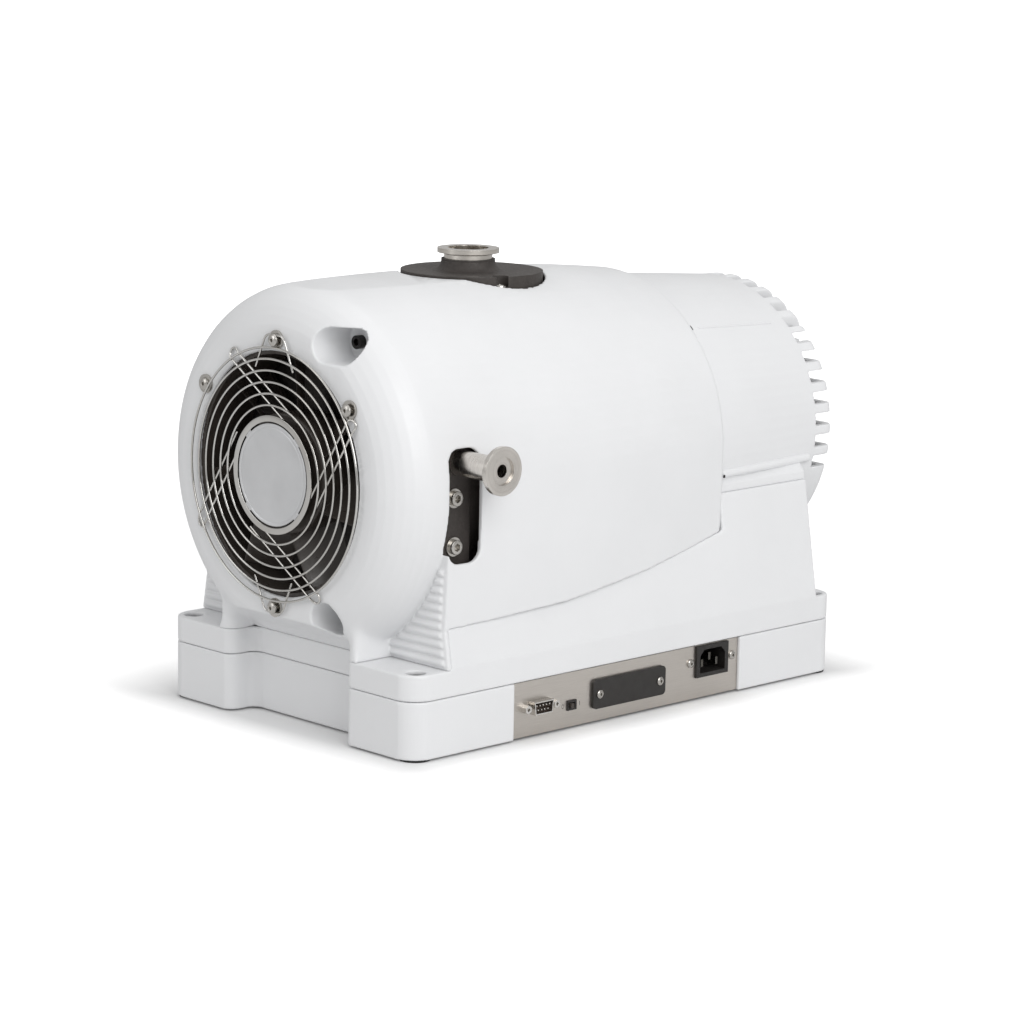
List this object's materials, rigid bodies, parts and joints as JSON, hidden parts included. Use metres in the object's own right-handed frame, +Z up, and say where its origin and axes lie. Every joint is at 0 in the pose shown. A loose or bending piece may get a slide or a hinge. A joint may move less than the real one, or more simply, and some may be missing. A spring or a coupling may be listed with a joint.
{
  "type": "dry scroll vacuum pump",
  "caption": "Oil-free scroll vacuum pump in a moulded casing, with a fan guard, an inlet flange on top, an exhaust flange on the side and a connector panel.",
  "frame": {"origin": "centre of the four mounting holes, on the floor plane", "axes": "+Z up, -Y the fan end, +X the connector side"},
  "size_m": [0.2671, 0.4204, 0.2943],
  "materials": {
    "casing": "satin moulded, off-white",
    "casting": "dark brown-black cast and painted",
    "dark_metal": "black painted",
    "panel_steel": "brushed along the panel",
    "steel": "machined",
    "chrome": "bright plated wire",
    "alloy": "satin",
    "rubber": "matt",
    "black_plastic": "matt black",
    "bronze": "sintered",
    "copper": "enamelled copper wire",
    "board": "green laminate",
    "seal": "off-white low-friction polymer",
    "gold": "plated contacts"
  },
  "bodies": {
    "casing": {"base_tray": "casing", "chassis_plate": "dark_metal", "rubber_feet": "rubber", "cover_posts": "steel", "pedestal_cover": "casing", "front_cover": "casing", "rear_cover": "casing", "cover_screws": "steel", "fan_guard": "chrome", "guard_disc": "alloy", "guard_screws": "steel", "guard_washers": "chrome", "fan_frame": "alloy", "fan_motor": "black_plastic", "fixed_scroll": "casting", "fixed_tip_seal": "seal", "case_seal": "rubber", "pump_housing": "casting", "case_screws": "steel", "inlet_flange": "steel", "port_screw": "steel", "exhaust_pipe": "steel", "exhaust_screws": "steel", "exhaust_washers": "chrome", "front_bearing_outer": "steel", "rear_bearing_outer": "steel", "idler_bushes": "bronze", "shaft_seal": "rubber", "motor_housing": "alloy", "motor_stator": "dark_metal", "motor_windings": "copper", "motor_end_bell": "alloy", "support_frame": "dark_metal", "isolators": "rubber", "control_panel": "panel_steel", "control_board": "board", "board_parts": "black_plastic", "dsub_shell": "chrome", "dsub_insert": "black_plastic", "dsub_pins": "gold", "jackscrews": "steel", "switch_body": "black_plastic", "blank_plate": "dark_metal", "power_inlet": "black_plastic", "inlet_pins": "gold", "panel_screws": "dark_metal"},
    "crank": {"crankshaft": "steel", "counterweight": "steel", "crank_bearing_inner": "steel", "front_bearing_inner": "steel", "rear_bearing_inner": "steel", "motor_rotor": "steel"},
    "orbiter": {"orbiting_scroll": "alloy", "orbiting_tip_seal": "seal", "crank_bearing_outer": "steel"},
    "idler_top": {"idler_crank_top": "steel"},
    "idler_right": {"idler_crank_right": "steel"},
    "idler_left": {"idler_crank_left": "steel"},
    "fan": {"fan_rotor": "black_plastic"},
    "slider": {"switch_slider": "black_plastic"}
  },
  "joints": [
    {"name": "crank_spin", "type": "hinge", "parent": "casing", "child": "crank", "pos_m": [0, -0.06, 0.1635], "axis": [0, 1, 0], "continuous": true},
    {"name": "orbit", "type": "hinge", "parent": "crank", "child": "orbiter", "pos_m": [0, -0.09, 0.1694], "axis": [0, 1, 0], "continuous": true},
    {"name": "idler_top_spin", "type": "hinge", "parent": "casing", "child": "idler_top", "pos_m": [0, -0.07, 0.2385], "axis": [0, 1, 0], "continuous": true},
    {"name": "idler_right_spin", "type": "hinge", "parent": "casing", "child": "idler_right", "pos_m": [0.06495, -0.07, 0.126], "axis": [0, 1, 0], "continuous": true},
    {"name": "idler_left_spin", "type": "hinge", "parent": "casing", "child": "idler_left", "pos_m": [-0.06495, -0.07, 0.126], "axis": [0, 1, 0], "continuous": true},
    {"name": "fan_spin", "type": "hinge", "parent": "casing", "child": "fan", "pos_m": [0, -0.185, 0.1635], "axis": [0, 1, 0], "continuous": true},
    {"name": "switch_slide", "type": "slide", "parent": "casing", "child": "slider", "axis": [0, 1, 0], "range_m": [0, 0.0024]}
  ],
  "couplings": [
    {"joint": "orbit", "follows": "crank_spin", "ratio": -1},
    {"joint": "idler_top_spin", "follows": "crank_spin", "ratio": 1},
    {"joint": "idler_right_spin", "follows": "crank_spin", "ratio": 1},
    {"joint": "idler_left_spin", "follows": "crank_spin", "ratio": 1}
  ]
}
